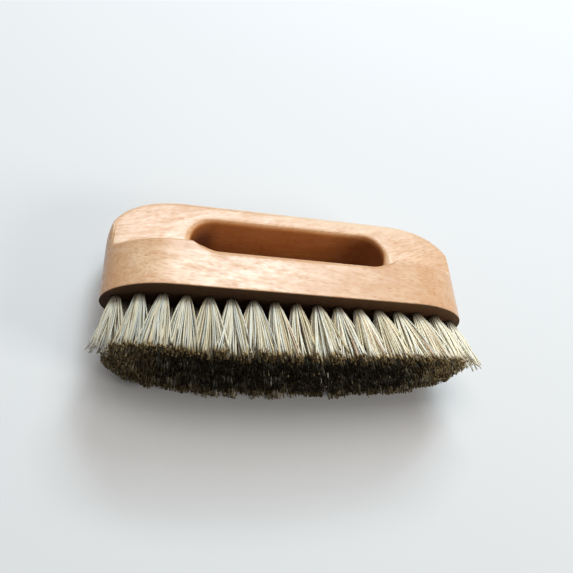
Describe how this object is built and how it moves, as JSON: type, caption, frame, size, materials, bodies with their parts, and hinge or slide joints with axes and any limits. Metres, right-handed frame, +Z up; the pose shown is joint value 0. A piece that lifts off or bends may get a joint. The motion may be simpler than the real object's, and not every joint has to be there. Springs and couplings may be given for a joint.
{
  "type": "furniture brush",
  "caption": "Hand brush for furniture: oiled beech block with rounded ends, recessed front, long through grip slot and fanned tufts of mixed fibre, lying on its back.",
  "frame": {"origin": "centre of the bounding box's footprint on the floor, with the brush lying on its back as in the picture", "axes": "+X along the block, +Y from the bristle tips towards the crest, +Z up, out of the recessed front face"},
  "size_m": [0.1916, 0.0964, 0.0614],
  "materials": {
    "oiled_beech": "oiled beech, sanded, soft sheen",
    "mixed_fibre": "stiff plant fibre, cream and straw mixed with brown and black"
  },
  "bodies": {
    "root": {"block": "oiled_beech", "tuft_front_01": "mixed_fibre", "tuft_front_02": "mixed_fibre", "tuft_front_03": "mixed_fibre", "tuft_front_04": "mixed_fibre", "tuft_front_05": "mixed_fibre", "tuft_front_06": "mixed_fibre", "tuft_front_07": "mixed_fibre", "tuft_front_08": "mixed_fibre", "tuft_front_09": "mixed_fibre", "tuft_front_10": "mixed_fibre", "tuft_front_11": "mixed_fibre", "tuft_front_12": "mixed_fibre", "tuft_front_13": "mixed_fibre", "tuft_front_14": "mixed_fibre", "tuft_front_15": "mixed_fibre", "tuft_front_16": "mixed_fibre", "tuft_front_17": "mixed_fibre", "tuft_middle_01": "mixed_fibre", "tuft_middle_02": "mixed_fibre", "tuft_middle_03": "mixed_fibre", "tuft_middle_04": "mixed_fibre", "tuft_middle_05": "mixed_fibre", "tuft_middle_06": "mixed_fibre", "tuft_middle_07": "mixed_fibre", "tuft_middle_08": "mixed_fibre", "tuft_middle_09": "mixed_fibre", "tuft_middle_10": "mixed_fibre", "tuft_middle_11": "mixed_fibre", "tuft_middle_12": "mixed_fibre", "tuft_middle_13": "mixed_fibre", "tuft_middle_14": "mixed_fibre", "tuft_middle_15": "mixed_fibre", "tuft_middle_16": "mixed_fibre", "tuft_back_01": "mixed_fibre", "tuft_back_02": "mixed_fibre", "tuft_back_03": "mixed_fibre", "tuft_back_04": "mixed_fibre", "tuft_back_05": "mixed_fibre", "tuft_back_06": "mixed_fibre", "tuft_back_07": "mixed_fibre", "tuft_back_08": "mixed_fibre", "tuft_back_09": "mixed_fibre", "tuft_back_10": "mixed_fibre", "tuft_back_11": "mixed_fibre", "tuft_back_12": "mixed_fibre", "tuft_back_13": "mixed_fibre", "tuft_back_14": "mixed_fibre", "tuft_back_15": "mixed_fibre", "tuft_back_16": "mixed_fibre", "tuft_back_17": "mixed_fibre"}
  },
  "joints": []
}
